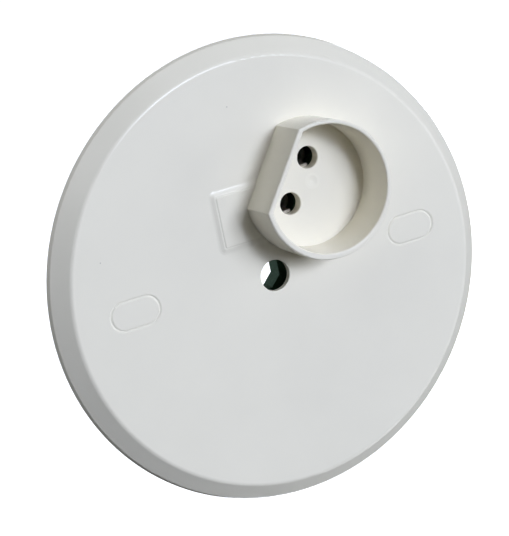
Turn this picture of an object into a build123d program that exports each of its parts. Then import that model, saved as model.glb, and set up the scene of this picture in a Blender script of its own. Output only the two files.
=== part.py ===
from build123d import *
from math import atan2, cos, degrees, isclose, radians, sin, tan
import os

# Lighting connection outlet for a ceiling: a round cover with a collared two-pin socket,
# and behind it a carrier with the contacts and the supply terminals. Millimetres.
# The ceiling is the plane Y = 0 and the face of the cover looks along -Y, with Z up the face.
# A height is the distance in front of the ceiling, so it is negative inside the ceiling box.

# Cover disc
disc_diameter = 119.9
rim_edge = 1.1
rim_lean = 0.5
rim_edge_rounding = 0.5
bevel_width = 4.25
face_height = 4.8
face_edge_rounding = 1.6
wall = 1.6

# Hole for the ceiling hook, a little off the middle of the disc
hook_x = -0.75
hook_z = -0.65
hook_hole_diameter = 8.0
hook_hole_rounding = 0.2

# Oval knock-outs for the fixing screws
knockout_length = 14.0
knockout_width = 8.2
knockout_margin = 8.9
knockout_rise = 0.8
groove_width = 0.9
groove_depth = 0.22
break_groove_width = 0.5
break_groove_depth = 0.8

# Socket: its centre, and the turn of the line from its flat side to its round side
socket_x = 12.7
socket_z = 19.9
socket_turn = -34.5
collar_diameter = 35.0
collar_height = 13.05
collar_wall = 1.3
collar_flat = 13.6
collar_shift = 0.28
collar_corner_rounding = 0.3
rim_rounding = 0.4
floor_rise = 0.4
recess_draft = 1.0
gate_mark_diameter = 2.9
gate_mark_depth = 0.18
gate_mark_along = 1.05
gate_mark_across = 1.13

# Pin holes
pin_spacing = 12.5
pin_offset = 2.5
pin_hole_diameter = 5.7
pin_hole_length = 3.0
pin_hole_rounding = 0.25
pin_boss_wall = 1.2

# Raised pad over the terminals
pad_left = -14.0
pad_bottom = 8.5
pad_length = 15.0
pad_width = 16.0
pad_rise = 0.4
pad_slope = 20.0
pad_corner_rounding = 1.5
pad_foot_rounding = 2.0
pad_top_rounding = 0.5
pad_ledge = 0.25
pad_panel_rise = 0.15
pad_panel_slope = 25.0
pad_panel_corner_rounding = 0.6
pad_hollow_inset = 2.0

# Base moulding
base_depth = 11.8
base_wall = 1.8
base_floor_wall = 1.6
chamber_wall = 1.4
back_edge_rounding = 0.8
opening_sides = 8
tunnel_width = 9.2
tunnel_drop = 0.45
tunnel_length = 5.3
tunnel_wall = 1.6
tunnel_margin = 3.2
locating_gap = 0.25
locating_rib_wall = 1.2
locating_rib_setback = 0.6

# Radial ribs that stiffen the cover
rib_count = 8
rib_wall = 1.0
rib_depth = 1.5
rib_end_cover = 0.3

# Contacts, bent from strip
strip_thickness = 0.8
sleeve_bore = 4.1
sleeve_wrap = 290.0
sleeve_mouth_gap = 4.3
sleeve_flare = 0.35
lip_gap = 0.3
lip_width = 2.0
strip_height = 4.4
bend_radius = 0.7
tab_length = 6.8
tab_width = 6.0
contact_gap = 0.4
pin_chamber_gap = 0.35

# Terminals
terminal_x = -10.0
terminal_side_gap = 1.8
terminal_screw_diameter = 3.5
terminal_head_diameter = 5.5
terminal_head_height = 2.2
terminal_screw_length = 7.0
terminal_screw_play = 0.1
washer_gap = 0.15
washer_thickness = 1.0
washer_rounding = 0.6
head_well_gap = 0.7
wire_entry_width = 5.2

# Screws that hold the base to the cover
base_screw_diameter = 2.5
base_screw_head_diameter = 5.4
base_screw_head_height = 1.9
base_screw_length = 7.0
base_screw_seat = 2.2
base_screw_play = 0.5
screw_boss_diameter = 6.0
screw_boss_length = 5.2
screw_boss_gap = 0.2
pilot_cap = 0.9
thread_play = 0.05

# All screws
screw_slot_width = 0.9
screw_slot_depth = 1.0
head_rounding = 0.5
tip_chamfer = 0.4

# Heights that follow
underside = face_height - wall
recess_floor = face_height + floor_rise
collar_top = face_height + collar_height
pin_boss_end = recess_floor - pin_hole_length
base_back = underside - base_depth
base_floor = base_back + base_floor_wall
sleeve_mouth = pin_boss_end - sleeve_mouth_gap
lip_front = pin_boss_end - lip_gap
tab_front = base_floor + strip_height
tab_middle = tab_front - strip_thickness / 2
tab_back = tab_front - strip_thickness
bend_start = tab_middle - bend_radius
washer_back = tab_back - washer_thickness
screw_boss_end = underside - screw_boss_length
screw_seat_front = screw_boss_end - screw_boss_gap
screw_seat_back = screw_seat_front - base_screw_seat

# Radii, widths and places that follow
disc_radius = disc_diameter / 2
rim_radius = disc_radius - rim_lean
face_radius = rim_radius - bevel_width
collar_radius = collar_diameter / 2
recess_narrowing = (collar_top - recess_floor) * tan(radians(recess_draft))
recess_radius = collar_radius - collar_wall - recess_narrowing
recess_flat = collar_flat - collar_wall - recess_narrowing
gate_mark_curve = ((gate_mark_diameter / 2) ** 2 + gate_mark_depth**2) / (2 * gate_mark_depth)
pad_place = (pad_left + pad_length / 2, pad_bottom + pad_width / 2)
pad_panel_inset = pad_rise / tan(radians(pad_slope)) + pad_ledge
pad_panel_length = pad_length - 2 * pad_panel_inset
pad_panel_width = pad_width - 2 * pad_panel_inset
pin_hole_radius = pin_hole_diameter / 2
pin_boss_radius = pin_hole_radius + pin_boss_wall
pin_chamber_radius = pin_boss_radius + pin_chamber_gap
sleeve_radius = (sleeve_bore + strip_thickness) / 2
boss_socket_radius = screw_boss_diameter / 2 + screw_boss_gap
pillar_radius = boss_socket_radius + chamber_wall
washer_side = tab_width - 2 * (bend_radius - strip_thickness / 2 + washer_gap)
tunnel_outer_width = tunnel_width + 2 * tunnel_wall
tunnel_place = (hook_x, hook_z - tunnel_drop)
knockout_x = face_radius - knockout_margin - knockout_length / 2
knockouts = [(-knockout_x, knockout_rise), (knockout_x, knockout_rise)]

# Directions on the face, as (X, Z): along the socket from its flat, and across it
along = (cos(radians(socket_turn)), sin(radians(socket_turn)))
across = (-along[1], along[0])


def pin_place(sideways):
    """Place of a pin hole on the face, at a distance across the socket's middle line."""
    return (
        socket_x - pin_offset * along[0] + sideways * across[0],
        socket_z - pin_offset * along[1] + sideways * across[1],
    )


upper_pin = pin_place(pin_spacing / 2)
lower_pin = pin_place(-pin_spacing / 2)


def strip_z(pin):
    """Z of the middle of the strip that leaves the sleeve under a pin hole."""
    return pin[1] - sleeve_radius


def terminal_place(pin):
    """Centre of the terminal that the contact of a pin reaches."""
    return (terminal_x, strip_z(pin) - strip_thickness / 2 - tab_width / 2)


terminals = [terminal_place(upper_pin), terminal_place(lower_pin)]

# Outline of the base, drawn around the pieces that it carries
tab_left = terminal_x - tab_length / 2
tab_right = terminal_x + tab_length / 2
base_inner_left = tab_left - terminal_side_gap
base_left = base_inner_left - base_wall
base_right = upper_pin[0] + pin_chamber_radius + base_wall
base_bottom = tunnel_place[1] - tunnel_outer_width / 2 - tunnel_margin
base_top = strip_z(upper_pin) + strip_thickness / 2 + contact_gap + 2 * pillar_radius
base_centre = ((base_left + base_right) / 2, (base_bottom + base_top) / 2)
base_screws = [
    (base_left + pillar_radius, base_top - pillar_radius),
    (base_right - pillar_radius, base_bottom + pillar_radius),
]


def level(height):
    """Plane parallel to the ceiling, at a height in front of it, that looks out of the face."""
    return Plane.XZ.offset(height)


def socket_level(height):
    """The same plane, centred on the socket, with its X from the flat to the round side."""
    return Plane(
        origin=(socket_x, -height, socket_z),
        x_dir=(along[0], 0, along[1]),
        z_dir=(0, -1, 0),
    )


def from_behind(place, height):
    """Plane at a place on the face and a height, that looks up into the ceiling box."""
    return Plane(origin=(place[0], -height, place[1]), x_dir=(1, 0, 0), z_dir=(0, 1, 0))


def d_shape(radius, flat):
    """Circle cut by a flat on its left side."""
    Circle(radius)
    with Locations((-flat - radius, 0)):
        Rectangle(2 * radius, 2 * radius, mode=Mode.SUBTRACT)


def rectangle_between(left, bottom, right, top):
    """Rectangle given by its four sides."""
    with Locations(((left + right) / 2, (bottom + top) / 2)):
        Rectangle(right - left, top - bottom)


def knockout_shape(growth, mode=Mode.ADD):
    """Outline of an oval knock-out, grown on all sides."""
    SlotOverall(knockout_length + 2 * growth, knockout_width + 2 * growth, mode=mode)


def base_shape(growth, mode=Mode.ADD):
    """Outline of the base, grown on all sides, or shrunk where the growth is negative."""
    with Locations(base_centre):
        RectangleRounded(
            base_right - base_left + 2 * growth,
            base_top - base_bottom + 2 * growth,
            pillar_radius + growth,
            mode=mode,
        )


def octagon(width):
    """Eight-sided shape with a flat on each side, given by its width over the flats."""
    RegularPolygon(width / 2, opening_sides, major_radius=False, rotation=180 / opening_sides)


def chamber_shape(pin, growth):
    """Outline of the chamber that a contact lies in, grown on all sides."""
    left = base_inner_left - growth
    margin = contact_gap + growth
    strip_low = strip_z(pin) - strip_thickness / 2
    strip_high = strip_z(pin) + strip_thickness / 2
    with Locations(pin):
        octagon(2 * (pin_chamber_radius + growth))
    rectangle_between(left, strip_low - margin, pin[0], strip_high + margin)
    rectangle_between(left, strip_low - tab_width - margin, tab_right + margin, strip_high + margin)


def finish(piece, label):
    """Name a piece and write it as its own file."""
    piece.label = label
    export_step(piece, f"parts/{label}.step")


os.makedirs("parts", exist_ok=True)

# Cover: half section of the dished disc, whose bevelled skirt has the same wall as its face
bevel_slope = bevel_width / (face_height - rim_edge)
skirt_wall = wall / sin(atan2(face_height - rim_edge, bevel_width))
skirt_radius_at_rim = face_radius + face_height * bevel_slope - skirt_wall
skirt_radius_at_underside = face_radius + wall * bevel_slope - skirt_wall
rib_end_radius = face_radius + wall * bevel_slope - rib_end_cover

with BuildPart() as cover:
    with BuildSketch(Plane.XY) as half_section:
        with BuildLine():
            Polyline(
                (0, -face_height),
                (face_radius, -face_height),
                (rim_radius, -rim_edge),
                (disc_radius, 0),
                (skirt_radius_at_rim, 0),
                (skirt_radius_at_underside, -underside),
                (0, -underside),
                close=True,
            )
        make_face()
        rim_corner = half_section.vertices().group_by(Axis.X)[-2].sort_by(Axis.Y)[0]
        fillet(rim_corner, rim_edge_rounding)
        face_corner = half_section.vertices().group_by(Axis.Y)[0].sort_by(Axis.X)[-1]
        fillet(face_corner, face_edge_rounding)
    revolve(axis=Axis.Y)

    # Raised pad with soft sloping sides and a low panel on it, hollow behind so that the wall stays even
    with BuildSketch(level(face_height)):
        with Locations(pad_place):
            RectangleRounded(pad_length, pad_width, pad_corner_rounding)
    extrude(amount=pad_rise, taper=90 - pad_slope)
    disc_face = cover.faces().filter_by(Axis.Y).sort_by(Axis.Y)[1]
    fillet(disc_face.inner_wires()[0].edges(), pad_foot_rounding)
    pad_top = cover.faces().filter_by(Axis.Y).sort_by(Axis.Y)[0]
    fillet(pad_top.edges(), pad_top_rounding)
    with BuildSketch(level(face_height + pad_rise)):
        with Locations(pad_place):
            RectangleRounded(pad_panel_length, pad_panel_width, pad_panel_corner_rounding)
    extrude(amount=pad_panel_rise, taper=90 - pad_panel_slope)
    with BuildSketch(level(underside)):
        rectangle_between(
            pad_left + pad_hollow_inset,
            pad_bottom + pad_hollow_inset,
            pad_left + pad_length - pad_hollow_inset,
            pad_bottom + pad_width - pad_hollow_inset,
        )
    extrude(amount=pad_rise, mode=Mode.SUBTRACT)

    # Collar, set a little to one side of its recess, which narrows towards its floor
    with BuildSketch(socket_level(face_height)) as collar_outline:
        with Locations((0, -collar_shift)):
            d_shape(collar_radius, collar_flat)
        fillet(collar_outline.vertices(), collar_corner_rounding)
    extrude(amount=collar_height)
    with BuildSketch(socket_level(recess_floor)):
        d_shape(recess_radius, recess_flat)
    extrude(amount=collar_top - recess_floor, taper=-recess_draft, mode=Mode.SUBTRACT)
    collar_rim = cover.faces().sort_by(Axis.Y)[0]
    fillet(collar_rim.edges(), rim_rounding)
    with Locations(socket_level(recess_floor)):
        with Locations((gate_mark_along, gate_mark_across, gate_mark_curve - gate_mark_depth)):
            Sphere(gate_mark_curve, mode=Mode.SUBTRACT)

    # Pin holes, each through a short boss behind the recess floor
    with BuildSketch(level(pin_boss_end)):
        with Locations(upper_pin, lower_pin):
            Circle(pin_boss_radius)
    extrude(amount=underside - pin_boss_end)
    with BuildSketch(level(pin_boss_end)):
        with Locations(upper_pin, lower_pin):
            Circle(pin_hole_radius)
    extrude(amount=pin_hole_length, mode=Mode.SUBTRACT)
    pin_hole_edges = cover.edges().filter_by(GeomType.CIRCLE).filter_by(
        lambda edge: isclose(edge.radius, pin_hole_radius)
    )
    fillet(pin_hole_edges.group_by(Axis.Y)[0], pin_hole_rounding)

    # Hole for the hook
    with BuildSketch(level(underside)):
        with Locations((hook_x, hook_z)):
            Circle(hook_hole_diameter / 2)
    extrude(amount=wall, mode=Mode.SUBTRACT)
    hook_hole_edges = cover.edges().filter_by(GeomType.CIRCLE).filter_by(
        lambda edge: isclose(edge.radius, hook_hole_diameter / 2)
    )
    fillet(hook_hole_edges.sort_by(Axis.Y)[0], hook_hole_rounding)

    # Oval knock-outs: a fine V groove around each in the face, and a deeper one behind it to break
    groove_flank = degrees(atan2(groove_width / 2, groove_depth))
    for flank, mode in [(-groove_flank, Mode.SUBTRACT), (groove_flank, Mode.ADD)]:
        with BuildSketch(level(face_height - groove_depth)):
            with Locations(*knockouts):
                knockout_shape(-groove_width / 2)
        extrude(amount=groove_depth, taper=flank, mode=mode)
    with BuildSketch(level(underside)):
        with Locations(*knockouts):
            knockout_shape(0)
            knockout_shape(-break_groove_width, mode=Mode.SUBTRACT)
    extrude(amount=break_groove_depth, mode=Mode.SUBTRACT)

    # Radial ribs, clear of the knock-outs, from the base out into the skirt
    with BuildSketch(level(underside - rib_depth)):
        with PolarLocations(0, rib_count, start_angle=180 / rib_count):
            Rectangle(rib_end_radius, rib_wall, align=(Align.MIN, Align.CENTER))
        base_shape(locating_gap, mode=Mode.SUBTRACT)
    extrude(amount=rib_depth)

    # Rib that locates the base, and the bosses for its screws
    with BuildSketch(level(locating_rib_setback)):
        base_shape(locating_gap + locating_rib_wall)
        base_shape(locating_gap, mode=Mode.SUBTRACT)
    extrude(amount=underside - locating_rib_setback)
    with BuildSketch(level(screw_boss_end)):
        with Locations(*base_screws):
            Circle(screw_boss_diameter / 2)
    extrude(amount=screw_boss_length)
    with BuildSketch(level(screw_boss_end)):
        with Locations(*base_screws):
            Circle(base_screw_diameter / 2 + thread_play)
    extrude(amount=face_height - pilot_cap - screw_boss_end, mode=Mode.SUBTRACT)

finish(cover.part, "cover")

# Base: a tray behind the cover, open towards it
with BuildPart() as base:
    with BuildSketch(level(base_back)):
        base_shape(0)
    extrude(amount=base_depth)
    back_face = base.faces().sort_by(Axis.Y)[-1]
    fillet(back_face.edges(), back_edge_rounding)
    with BuildSketch(level(base_floor)):
        base_shape(-base_wall)
    extrude(amount=underside - base_floor, mode=Mode.SUBTRACT)

    # Walls on its floor: contact chambers and screw pillars, and a low tunnel for the hook
    with BuildSketch(level(base_floor)):
        chamber_shape(upper_pin, chamber_wall)
        chamber_shape(lower_pin, chamber_wall)
        with Locations(*base_screws):
            Circle(pillar_radius)
    extrude(amount=underside - base_floor)
    with BuildSketch(level(base_back)):
        with Locations(tunnel_place):
            octagon(tunnel_outer_width)
    extrude(amount=tunnel_length)
    with BuildSketch(level(base_floor)):
        chamber_shape(upper_pin, 0)
        chamber_shape(lower_pin, 0)
    extrude(amount=underside - base_floor, mode=Mode.SUBTRACT)
    with BuildSketch(level(base_back)):
        with Locations(tunnel_place):
            octagon(tunnel_width)
    extrude(amount=tunnel_length, mode=Mode.SUBTRACT)

    # Sockets for the cover's bosses, and the screw holes into them from behind
    with BuildSketch(level(screw_seat_front)):
        with Locations(*base_screws):
            Circle(boss_socket_radius)
    extrude(amount=underside - screw_seat_front, mode=Mode.SUBTRACT)
    with Locations(*[from_behind(place, base_back) for place in base_screws]):
        CounterBoreHole(
            (base_screw_diameter + base_screw_play) / 2,
            (base_screw_head_diameter + base_screw_play) / 2,
            screw_seat_back - base_back,
            depth=screw_seat_front - base_back,
        )

    # Wells over the terminal screws, and the wire entries in the left wall
    with Locations(*[from_behind(place, base_back) for place in terminals]):
        Hole(terminal_head_diameter / 2 + head_well_gap, depth=base_floor_wall)
    with BuildSketch(Plane.YZ.offset(base_left)):
        for place in terminals:
            half_width = wire_entry_width / 2
            rectangle_between(-tab_back, place[1] - half_width, -base_floor, place[1] + half_width)
    extrude(amount=base_wall, mode=Mode.SUBTRACT)

finish(base.part, "base")


def build_contact(pin, label):
    """Strip on edge: one end is rolled into the pin's sleeve with a lip, the other bent into a tab."""
    strip_middle = strip_z(pin)
    tab_end = strip_middle - strip_thickness / 2 - tab_width
    with BuildPart() as contact:
        with BuildSketch(level(base_floor)):
            with BuildLine():
                Line((tab_left, strip_middle), (pin[0], strip_middle))
                CenterArc(pin, sleeve_radius, -90, sleeve_wrap)
            trace(line_width=strip_thickness)
        extrude(amount=bend_start - base_floor)
        with BuildSketch(level(base_floor)):
            with BuildLine():
                CenterArc(pin, sleeve_radius, -90, sleeve_wrap)
            trace(line_width=strip_thickness)
        extrude(amount=sleeve_mouth - base_floor)
        sleeve_end = contact.faces().sort_by(Axis.Y)[0]
        sleeve_bore_edge = sleeve_end.edges().filter_by(GeomType.CIRCLE).sort_by(SortBy.RADIUS)[0]
        chamfer(sleeve_bore_edge, sleeve_flare)
        with BuildSketch(level(base_floor)):
            with BuildLine():
                Line((pin[0] - lip_width / 2, strip_middle), (pin[0] + lip_width / 2, strip_middle))
            trace(line_width=strip_thickness)
        extrude(amount=lip_front - base_floor)

        with BuildSketch(Plane.YZ.offset(tab_left)):
            with BuildLine():
                FilletPolyline(
                    (-base_floor, strip_middle),
                    (-tab_middle, strip_middle),
                    (-tab_middle, tab_end),
                    radius=bend_radius,
                )
            trace(line_width=strip_thickness)
        extrude(amount=tab_length)
        with BuildSketch(level(tab_back)):
            with Locations(terminal_place(pin)):
                Circle(terminal_screw_diameter / 2 + thread_play)
        extrude(amount=strip_thickness, mode=Mode.SUBTRACT)
    finish(contact.part, label)


def build_washer(place, label):
    """Square clamp washer that lies on the back of a contact's tab."""
    with BuildPart() as washer:
        with BuildSketch(level(washer_back)):
            with Locations(place):
                RectangleRounded(washer_side, washer_side, washer_rounding)
                Circle(terminal_screw_diameter / 2 + terminal_screw_play, mode=Mode.SUBTRACT)
        extrude(amount=washer_thickness)
    finish(washer.part, label)


def build_screw(place, seat, diameter, length, head_diameter, head_height, label):
    """Slotted screw put in from behind, with its head resting on a seat height."""
    with BuildPart() as screw:
        with BuildSketch(level(seat)):
            with Locations(place):
                Circle(head_diameter / 2)
        extrude(amount=-head_height)
        head_back = screw.faces().sort_by(Axis.Y)[-1]
        fillet(head_back.edges(), head_rounding)
        with BuildSketch(level(seat)):
            with Locations(place):
                Circle(diameter / 2)
        extrude(amount=length)
        tip = screw.faces().sort_by(Axis.Y)[0]
        chamfer(tip.edges(), tip_chamfer)
        with BuildSketch(level(seat - head_height)):
            with Locations(place):
                Rectangle(screw_slot_width, head_diameter)
        extrude(amount=screw_slot_depth, mode=Mode.SUBTRACT)
    finish(screw.part, label)


build_contact(upper_pin, "contact_upper")
build_contact(lower_pin, "contact_lower")

for position, terminal, base_screw in zip(["upper", "lower"], terminals, base_screws):
    build_washer(terminal, f"clamp_washer_{position}")
    build_screw(
        terminal,
        washer_back,
        terminal_screw_diameter,
        terminal_screw_length,
        terminal_head_diameter,
        terminal_head_height,
        f"terminal_screw_{position}",
    )
    build_screw(
        base_screw,
        screw_seat_back,
        base_screw_diameter,
        base_screw_length,
        base_screw_head_diameter,
        base_screw_head_height,
        f"base_screw_{position}",
    )
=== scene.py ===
from math import cos, pi, radians, sin

import bmesh
import bpy
from bpy.props import FloatProperty, FloatVectorProperty, PointerProperty
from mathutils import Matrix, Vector

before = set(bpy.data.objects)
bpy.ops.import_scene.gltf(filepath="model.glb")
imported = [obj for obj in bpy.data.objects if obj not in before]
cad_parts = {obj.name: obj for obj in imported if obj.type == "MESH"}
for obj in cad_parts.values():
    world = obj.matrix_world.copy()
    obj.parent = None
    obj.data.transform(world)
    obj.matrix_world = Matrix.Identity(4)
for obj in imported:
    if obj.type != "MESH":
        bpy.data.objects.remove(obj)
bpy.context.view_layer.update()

bl_info = {
    "name": "Lighting Outlet Finish",
    "version": (1, 0, 0),
    "blender": (4, 5, 0),
    "location": "View3D > Sidebar > Outlet",
    "description": "Finishes a ceiling outlet for lamps and sets it in a small photo studio",
    "category": "Object",
}

# Dark specks in the cover's face, as X, Y and Z in metres
FACE_SPECKS = [
    (-0.0454, -0.0048, 0.0156),
    (-0.0045, -0.0048, 0.0443),
]

# Lamps of the studio: name, degrees off the line that looks straight at the face,
# degrees around that line from the right, and power in watts
KEY_LAMPS = [
    ("key_lamp_high", 20, 55, 18.8),
    ("key_lamp_middle", 20, 30, 11.6),
    ("key_lamp_front", 14, 20, 10.6),
    ("key_lamp_right", 27, 20, 9.7),
    ("key_lamp_far", 35, 35, 8.6),
    ("key_lamp_near", 27, 40, 5.3),
    ("key_lamp_low", 40, 5, 3.1),
]
FILL_LAMPS = [
    ("top_lamp", 82, 90, 11.0),
    ("right_lamp", 65, 0, 7.0),
    ("upper_left_lamp", 70, 120, 2.6),
    ("left_lamp", 65, 135, 6.0),
    ("low_lamp", 65, 270, 5.4),
    ("low_right_lamp", 82, 315, 10.0),
]
BACK_LAMPS = [
    ("back_lamp_right", 134, 5, 50.0),
    ("back_lamp_left", 131, 160, 24.0),
    ("back_lamp_low", 135, 300, 8.0),
]

# Worn edges: samples of the rounded normal, and the cosine of its turn away from the face's
# own normal where an edge is worn bare and where a face is still untouched
EDGE_SAMPLES = 6
EDGE_BARE = 0.8
EDGE_UNTOUCHED = 0.99

# Colour sockets of Blender's mix node: its two inputs and its output
MIX_FIRST = 6
MIX_SECOND = 7
MIX_RESULT = 2

# Dome of the backdrop: degrees from one row of points to the next, sides around it, and the
# distance in metres within which two of its points become one
DOME_STEP = 6
DOME_SIDES = 48
DOME_WELD = 1e-5


def colour_property(name, description, default):
    """Property for a colour."""
    return FloatVectorProperty(
        name=name, description=description, subtype="COLOR", size=3, min=0.0, max=1.5, default=default
    )


def length_property(name, description, default):
    """Property for a length in metres."""
    return FloatProperty(name=name, description=description, unit="LENGTH", precision=6, default=default)


def factor_property(name, description, default):
    """Property for a share from 0 to 1."""
    return FloatProperty(
        name=name, description=description, subtype="FACTOR", min=0.0, max=1.0, default=default
    )


class CoverLook(bpy.types.PropertyGroup):
    """Finish of the white moulded cover."""

    colour: colour_property("Colour", "Colour of the white plastic", (0.93, 0.885, 0.762))
    clouding: factor_property("Clouding", "How much darker the plastic is in its cloudy patches", 0.02)
    cloud_size: length_property("Cloud Size", "Size of the cloudy patches", 0.014)
    roughness_low: factor_property("Roughness Low", "Roughness where the surface is smoothest", 0.2)
    roughness_high: factor_property("Roughness High", "Roughness where the surface is dullest", 0.26)
    dull_size: length_property("Dull Size", "Size of the smooth and dull patches", 0.003)
    gloss: factor_property("Gloss", "Strength of the gloss, 0.5 for plain plastic", 0.25)
    grain: length_property("Grain", "Size of the fine grain that the mould leaves", 0.00035)
    grain_depth: length_property("Grain Depth", "Depth of the fine grain", 0.000004)
    sink: length_property("Sink", "Size of the soft hollows where the plastic has shrunk", 0.012)
    sink_depth: length_property("Sink Depth", "Depth of the soft hollows", 0.00004)
    gate_place: FloatVectorProperty(
        name="Gate Place",
        description="Place of the round mark where the plastic ran into the mould",
        subtype="TRANSLATION",
        unit="LENGTH",
        size=3,
        default=(0.0142, -0.0062, 0.0202),
    )
    gate_radius: length_property("Gate Radius", "Radius of the dull spot around that mark", 0.0024)
    gate_roughness: factor_property("Gate Roughness", "Roughness of the dull spot", 0.6)
    speck_radius: length_property("Speck Radius", "Radius of the dark specks in the face", 0.00022)
    speck_colour: colour_property("Speck Colour", "Colour of the dark specks", (0.60, 0.57, 0.50))


class BaseLook(bpy.types.PropertyGroup):
    """Finish of the green thermoset base."""

    colour: colour_property("Colour", "Colour of the green moulding", (0.045, 0.115, 0.066))
    fleck_colour: colour_property("Fleck Colour", "Colour of pale flecks of filler", (0.085, 0.17, 0.11))
    fleck_size: length_property("Fleck Size", "Size of the flecks of filler", 0.0007)
    edge_colour: colour_property("Edge Colour", "Colour of rubbed edges", (0.11, 0.20, 0.14))
    edge_width: length_property("Edge Width", "Width of the rubbed edges", 0.00025)
    rub_size: length_property("Rub Size", "Size of the more and less rubbed stretches of edge", 0.002)
    roughness_low: factor_property("Roughness Low", "Roughness where the surface is smoothest", 0.4)
    roughness_high: factor_property("Roughness High", "Roughness where the surface is dullest", 0.58)
    dull_size: length_property("Dull Size", "Size of the smooth and dull patches", 0.004)
    gloss: factor_property("Gloss", "Strength of the gloss, 0.5 for plain plastic", 0.2)
    grain: length_property("Grain", "Size of the surface grain", 0.0005)
    grain_depth: length_property("Grain Depth", "Depth of the surface grain", 0.00001)


class ContactLook(bpy.types.PropertyGroup):
    """Finish of the plated strip contacts."""

    colour: colour_property("Colour", "Colour of the nickel plating", (0.27, 0.245, 0.20))
    tarnish_colour: colour_property("Tarnish Colour", "Colour of tarnished patches", (0.15, 0.13, 0.10))
    tarnish_size: length_property("Tarnish Size", "Size of tarnished patches", 0.0025)
    edge_colour: colour_property("Edge Colour", "Colour of the brass at bare edges", (0.34, 0.29, 0.21))
    edge_width: length_property("Edge Width", "Width of the bare edges", 0.00012)
    roughness_low: factor_property("Roughness Low", "Roughness where the strip is brightest", 0.4)
    roughness_high: factor_property("Roughness High", "Roughness where the strip is dullest", 0.6)
    dull_size: length_property("Dull Size", "Size of the bright and dull patches", 0.0015)
    roll_lines: length_property("Roll Lines", "Spacing of the fine lines from rolling", 0.00006)
    roll_length: length_property("Roll Length", "Length of the fine lines", 0.004)
    roll_depth: length_property("Roll Depth", "Depth of the fine lines", 0.000002)


class SteelLook(bpy.types.PropertyGroup):
    """Finish of the zinc plated screws and washers."""

    colour: colour_property("Colour", "Colour of the zinc plating", (0.62, 0.64, 0.66))
    tint_colour: colour_property("Tint Colour", "Colour of thicker plating", (0.66, 0.62, 0.53))
    tint_size: length_property("Tint Size", "Size of the tinted patches", 0.0018)
    edge_colour: colour_property("Edge Colour", "Colour of polished edges", (0.80, 0.81, 0.82))
    edge_width: length_property("Edge Width", "Width of the polished edges", 0.00012)
    roughness_low: factor_property("Roughness Low", "Roughness where the metal is brightest", 0.22)
    roughness_high: factor_property("Roughness High", "Roughness where the metal is dullest", 0.42)
    dull_size: length_property("Dull Size", "Size of the bright and dull patches", 0.0008)
    grain: length_property("Grain", "Size of the plating's grain", 0.0002)
    grain_depth: length_property("Grain Depth", "Depth of the plating's grain", 0.000003)


class StudioLook(bpy.types.PropertyGroup):
    """Floor, lamps and camera."""

    floor_drop: length_property("Floor Drop", "How far the floor lies below the outlet's middle", 0.35)
    dome_radius: length_property("Dome Radius", "Radius of the round backdrop", 6.0)
    lamp_distance: length_property("Lamp Distance", "How far the lamps stand from the outlet", 3.0)
    key_width: length_property("Key Width", "Width of each round key lamp", 0.5)
    key_colour: colour_property("Key Colour", "Colour of the key lamps' light", (0.915, 0.986, 1.166))
    fill_width: length_property("Fill Width", "Width of each round fill lamp and back lamp", 1.2)
    fill_colour: colour_property("Fill Colour", "Colour of the fill lamps' light", (0.971, 1.005, 1.019))
    back_colour: colour_property("Back Colour", "Colour of the back lamps' light", (0.93, 0.98, 1.13))
    back_light: FloatProperty(
        name="Back Light", description="Strength of the even light from behind", default=0.2
    )
    back_start: factor_property("Back Start", "How far round to the back the even light starts", 0.3)
    back_full: factor_property("Back Full", "How far round to the back it has its full strength", 0.8)
    camera_place: FloatVectorProperty(
        name="Camera Place",
        description="Place of the camera",
        subtype="TRANSLATION",
        unit="LENGTH",
        size=3,
        default=(-0.1930, -0.4561, 0.1253),
    )
    camera_turn: FloatVectorProperty(
        name="Camera Turn",
        description="Turn of the camera about X, Y and Z",
        subtype="EULER",
        size=3,
        default=(1.32025, 0.19709, -0.44301),
    )
    camera_lens: FloatProperty(
        name="Camera Lens",
        description="Focal length of the camera",
        subtype="DISTANCE_CAMERA",
        default=134.33,
    )
    camera_clip: length_property("Camera Clip", "Nearest distance that the camera sees", 0.01)


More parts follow.
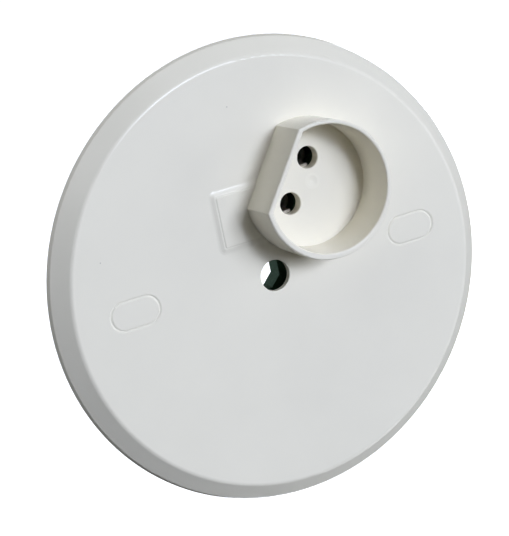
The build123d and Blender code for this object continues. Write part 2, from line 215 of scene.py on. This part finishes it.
class Finish:
    """A material in the making, with its shader and the place on the piece."""

    def __init__(self, name):
        self.material = bpy.data.materials.new(name)
        self.material.use_nodes = True
        self.tree = self.material.node_tree
        self.shader = self.tree.nodes["Principled BSDF"]
        self.place = self.add("ShaderNodeTexCoord").outputs["Object"]
        self.relief = None

    def add(self, kind, **settings):
        """Add a node, with its own settings."""
        node = self.tree.nodes.new(kind)
        for setting, value in settings.items():
            setattr(node, setting, value)
        return node

    def set(self, node, socket, value):
        """Link a socket of a node to an output, or give it a plain value."""
        if isinstance(value, bpy.types.NodeSocket):
            self.tree.links.new(value, node.inputs[socket])
        else:
            node.inputs[socket].default_value = value

    def noise(self, size, detail, length=None):
        """Noise with patches of a size, drawn out along X where a length is given."""
        place = self.place
        scale = 1 / size
        if length:
            stretch = self.add("ShaderNodeMapping")
            self.set(stretch, "Vector", place)
            self.set(stretch, "Scale", (1 / length, 1 / size, 1 / size))
            place = stretch.outputs["Vector"]
            scale = 1.0
        node = self.add("ShaderNodeTexNoise")
        self.set(node, "Vector", place)
        self.set(node, "Scale", scale)
        self.set(node, "Detail", detail)
        return node.outputs["Fac"]

    def between(self, value, low, high, start=0.3, end=0.7):
        """Number that goes from low to high as a value goes from start to end."""
        node = self.add("ShaderNodeMapRange")
        self.set(node, "Value", value)
        self.set(node, "From Min", start)
        self.set(node, "From Max", end)
        self.set(node, "To Min", low)
        self.set(node, "To Max", high)
        return node.outputs["Result"]

    def mix(self, share, first, second):
        """Colour between two colours."""
        node = self.add("ShaderNodeMix", data_type="RGBA")
        self.set(node, "Factor", share)
        for socket, colour in [(MIX_FIRST, first), (MIX_SECOND, second)]:
            if not isinstance(colour, bpy.types.NodeSocket):
                colour = [*colour, 1.0]
            self.set(node, socket, colour)
        return node.outputs[MIX_RESULT]

    def spot(self, place, radius, core):
        """Share that is 1 in the core of a round spot and fades to 0 at its radius."""
        away = self.add("ShaderNodeVectorMath", operation="DISTANCE")
        self.set(away, 0, self.place)
        self.set(away, 1, place)
        return self.between(away.outputs["Value"], 1.0, 0.0, start=core * radius, end=radius)

    def edges(self, width):
        """Share that is 1 along sharp edges and 0 on flat faces."""
        rounded = self.add("ShaderNodeBevel", samples=EDGE_SAMPLES)
        self.set(rounded, "Radius", width)
        flat = self.add("ShaderNodeNewGeometry")
        turn = self.add("ShaderNodeVectorMath", operation="DOT_PRODUCT")
        self.set(turn, 0, rounded.outputs["Normal"])
        self.set(turn, 1, flat.outputs["Normal"])
        return self.between(turn.outputs["Value"], 1.0, 0.0, start=EDGE_BARE, end=EDGE_UNTOUCHED)

    def bump(self, height, depth):
        """Lay a relief of a depth over the surface."""
        node = self.add("ShaderNodeBump")
        self.set(node, "Height", height)
        self.set(node, "Distance", depth)
        if self.relief:
            self.set(node, "Normal", self.relief)
        self.relief = node.outputs["Normal"]
        self.set(self.shader, "Normal", self.relief)

    def dress(self, *nodes):
        """Give the finish to CAD nodes."""
        for node in nodes:
            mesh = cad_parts[node].data
            mesh.materials.clear()
            mesh.materials.append(self.material)


class OUTLET_OT_cover(bpy.types.Operator):
    """Finish the cover in white moulded plastic"""

    bl_idname = "outlet.cover"
    bl_label = "Cover"

    def execute(self, context):
        look = context.scene.outlet_cover
        white = Finish("moulded_white")
        clouds = white.between(white.noise(look.cloud_size, detail=4.0), 0.0, 1.0)
        shade = [part * (1 - look.clouding) for part in look.colour]
        colour = white.mix(clouds, shade, look.colour)
        for place in FACE_SPECKS:
            speck = white.spot(place, look.speck_radius, core=0.4)
            colour = white.mix(speck, colour, look.speck_colour)
        white.set(white.shader, "Base Color", colour)
        white.set(white.shader, "Specular IOR Level", look.gloss)
        patches = white.noise(look.dull_size, detail=3.0)
        dullness = white.between(patches, look.roughness_low, look.roughness_high)
        gate = white.spot(look.gate_place, look.gate_radius, core=0.7)
        dullness = white.between(gate, dullness, look.gate_roughness, start=0.0, end=1.0)
        white.set(white.shader, "Roughness", dullness)
        white.bump(white.noise(look.sink, detail=1.0), look.sink_depth)
        white.bump(white.noise(look.grain, detail=2.0), look.grain_depth)
        white.dress("cover")
        return {"FINISHED"}


class OUTLET_OT_base(bpy.types.Operator):
    """Finish the base in dark green thermoset"""

    bl_idname = "outlet.base"
    bl_label = "Base"

    def execute(self, context):
        look = context.scene.outlet_base
        green = Finish("green_thermoset")
        flecks = green.noise(look.fleck_size, detail=5.0)
        flecks = green.between(flecks, 0.0, 0.8, start=0.5, end=0.72)
        colour = green.mix(flecks, look.colour, look.fleck_colour)
        rubbed = green.add("ShaderNodeMath", operation="MULTIPLY")
        green.set(rubbed, 0, green.edges(look.edge_width))
        green.set(rubbed, 1, green.between(green.noise(look.rub_size, detail=3.0), 0.1, 0.8))
        colour = green.mix(rubbed.outputs["Value"], colour, look.edge_colour)
        green.set(green.shader, "Base Color", colour)
        green.set(green.shader, "Specular IOR Level", look.gloss)
        patches = green.noise(look.dull_size, detail=4.0)
        dullness = green.between(patches, look.roughness_low, look.roughness_high)
        green.set(green.shader, "Roughness", dullness)
        green.bump(green.noise(look.grain, detail=3.0), look.grain_depth)
        green.dress("base")
        return {"FINISHED"}


class OUTLET_OT_contacts(bpy.types.Operator):
    """Finish the contacts in nickel plated strip"""

    bl_idname = "outlet.contacts"
    bl_label = "Contacts"

    def execute(self, context):
        look = context.scene.outlet_contacts
        strip = Finish("plated_strip")
        tarnish = strip.noise(look.tarnish_size, detail=5.0)
        tarnish = strip.between(tarnish, 0.0, 0.7, start=0.45, end=0.75)
        colour = strip.mix(tarnish, look.colour, look.tarnish_colour)
        colour = strip.mix(strip.edges(look.edge_width), colour, look.edge_colour)
        strip.set(strip.shader, "Base Color", colour)
        strip.set(strip.shader, "Metallic", 1.0)
        patches = strip.noise(look.dull_size, detail=3.0)
        dullness = strip.between(patches, look.roughness_low, look.roughness_high)
        strip.set(strip.shader, "Roughness", dullness)
        lines = strip.noise(look.roll_lines, detail=1.0, length=look.roll_length)
        strip.bump(lines, look.roll_depth)
        strip.dress("contact_upper", "contact_lower")
        return {"FINISHED"}


def zinc_plated(name, look):
    """Zinc plated steel with tinted patches, fine grain and polished edges."""
    steel = Finish(name)
    tint = steel.noise(look.tint_size, detail=4.0)
    tint = steel.between(tint, 0.0, 0.8, start=0.4, end=0.7)
    colour = steel.mix(tint, look.colour, look.tint_colour)
    colour = steel.mix(steel.edges(look.edge_width), colour, look.edge_colour)
    steel.set(steel.shader, "Base Color", colour)
    steel.set(steel.shader, "Metallic", 1.0)
    patches = steel.noise(look.dull_size, detail=4.0)
    dullness = steel.between(patches, look.roughness_low, look.roughness_high)
    steel.set(steel.shader, "Roughness", dullness)
    steel.bump(steel.noise(look.grain, detail=3.0), look.grain_depth)
    return steel


class OUTLET_OT_washers(bpy.types.Operator):
    """Finish the clamp washers in zinc plated steel"""

    bl_idname = "outlet.washers"
    bl_label = "Clamp Washers"

    def execute(self, context):
        steel = zinc_plated("washer_zinc", context.scene.outlet_steel)
        steel.dress("clamp_washer_upper", "clamp_washer_lower")
        return {"FINISHED"}


class OUTLET_OT_screws(bpy.types.Operator):
    """Finish the screws in zinc plated steel"""

    bl_idname = "outlet.screws"
    bl_label = "Screws"

    def execute(self, context):
        steel = zinc_plated("screw_zinc", context.scene.outlet_steel)
        steel.dress("terminal_screw_upper", "terminal_screw_lower")
        steel.dress("base_screw_upper", "base_screw_lower")
        return {"FINISHED"}


class OUTLET_OT_studio(bpy.types.Operator):
    """Set up the floor, the lamps and the camera"""

    bl_idname = "outlet.studio"
    bl_label = "Studio"

    def execute(self, context):
        look = context.scene.outlet_studio
        scene = context.scene
        scene.view_settings.view_transform = "Standard"
        self.lay_floor(scene, look)
        self.light_from_behind(scene, look)
        self.hang_lamps(scene, KEY_LAMPS, look.lamp_distance, look.key_width, look.key_colour)
        self.hang_lamps(scene, FILL_LAMPS, look.lamp_distance, look.fill_width, look.fill_colour)
        self.hang_lamps(scene, BACK_LAMPS, look.lamp_distance, look.fill_width, look.back_colour)
        camera = bpy.data.objects.new("camera", bpy.data.cameras.new("camera"))
        camera.data.lens = look.camera_lens
        camera.data.clip_start = look.camera_clip
        camera.location = look.camera_place
        camera.rotation_euler = look.camera_turn
        scene.collection.objects.link(camera)
        scene.camera = camera
        return {"FINISHED"}

    def hang_lamps(self, scene, lamps, distance, width, colour):
        """Round soft lamps of one width and colour, all turned to the outlet."""
        for name, tilt, turn, power in lamps:
            lamp = bpy.data.lights.new(name, "AREA")
            lamp.shape = "DISK"
            lamp.size = width
            lamp.energy = power
            lamp.color = colour
            stand = bpy.data.objects.new(name, lamp)
            off, around = radians(tilt), radians(turn)
            side = Vector((sin(off) * cos(around), -cos(off), sin(off) * sin(around)))
            stand.location = side * distance
            stand.rotation_euler = side.to_track_quat("Z", "Y").to_euler()
            scene.collection.objects.link(stand)

    def lay_floor(self, scene, look):
        """White paper floor that runs into a round backdrop. Only the camera sees it."""
        profile = [(0.0, -look.floor_drop), (look.dome_radius, -look.floor_drop)]
        for height in range(0, 91, DOME_STEP):
            turn = radians(height)
            profile.append((look.dome_radius * cos(turn), look.dome_radius * sin(turn)))
        dome = bmesh.new()
        points = [dome.verts.new((x, 0, z)) for x, z in profile]
        edges = [dome.edges.new(pair) for pair in zip(points, points[1:])]
        bmesh.ops.spin(
            dome, geom=points + edges, axis=(0, 0, 1), cent=(0, 0, 0), angle=2 * pi, steps=DOME_SIDES
        )
        bmesh.ops.remove_doubles(dome, verts=dome.verts, dist=DOME_WELD)
        mesh = bpy.data.meshes.new("floor")
        dome.to_mesh(mesh)
        dome.free()
        floor = bpy.data.objects.new("floor", mesh)
        scene.collection.objects.link(floor)
        paper = bpy.data.materials.new("white_paper")
        paper.use_nodes = True
        shader = paper.node_tree.nodes["Principled BSDF"]
        shader.inputs["Emission Color"].default_value = (1, 1, 1, 1)
        shader.inputs["Emission Strength"].default_value = 1.0
        mesh.materials.append(paper)
        floor.visible_diffuse = False
        floor.visible_glossy = False
        floor.visible_shadow = False

    def light_from_behind(self, scene, look):
        """Even light on the back of the outlet, that leaves its face to the lamps."""
        world = bpy.data.worlds.new("back_light")
        world.use_nodes = True
        tree = world.node_tree
        side = tree.nodes.new("ShaderNodeTexCoord")
        parts = tree.nodes.new("ShaderNodeSeparateXYZ")
        fade = tree.nodes.new("ShaderNodeMapRange")
        tree.links.new(side.outputs["Generated"], parts.inputs["Vector"])
        tree.links.new(parts.outputs["Y"], fade.inputs["Value"])
        fade.inputs["From Min"].default_value = look.back_start
        fade.inputs["From Max"].default_value = look.back_full
        fade.inputs["To Max"].default_value = look.back_light
        tree.links.new(fade.outputs["Result"], tree.nodes["Background"].inputs["Strength"])
        tree.nodes["Background"].inputs["Color"].default_value = (1, 1, 1, 1)
        scene.world = world


class OUTLET_PT_panel(bpy.types.Panel):
    """Sidebar panel with the finishing steps"""

    bl_idname = "OUTLET_PT_panel"
    bl_label = "Lighting Outlet"
    bl_space_type = "VIEW_3D"
    bl_region_type = "UI"
    bl_category = "Outlet"

    def draw(self, context):
        for step in STEPS:
            self.layout.operator(step.bl_idname)


LOOKS = {
    "outlet_cover": CoverLook,
    "outlet_base": BaseLook,
    "outlet_contacts": ContactLook,
    "outlet_steel": SteelLook,
    "outlet_studio": StudioLook,
}
STEPS = [
    OUTLET_OT_cover,
    OUTLET_OT_base,
    OUTLET_OT_contacts,
    OUTLET_OT_washers,
    OUTLET_OT_screws,
    OUTLET_OT_studio,
]


def register():
    for item in [*LOOKS.values(), *STEPS, OUTLET_PT_panel]:
        bpy.utils.register_class(item)
    for name, look in LOOKS.items():
        setattr(bpy.types.Scene, name, PointerProperty(type=look))


def unregister():
    for name in LOOKS:
        delattr(bpy.types.Scene, name)
    for item in [OUTLET_PT_panel, *reversed(STEPS), *LOOKS.values()]:
        bpy.utils.unregister_class(item)


def main():
    register()
    bpy.ops.outlet.cover()
    bpy.ops.outlet.base()
    bpy.ops.outlet.contacts()
    bpy.ops.outlet.washers()
    bpy.ops.outlet.screws()
    bpy.ops.outlet.studio()


if __name__ == "__main__":
    main()
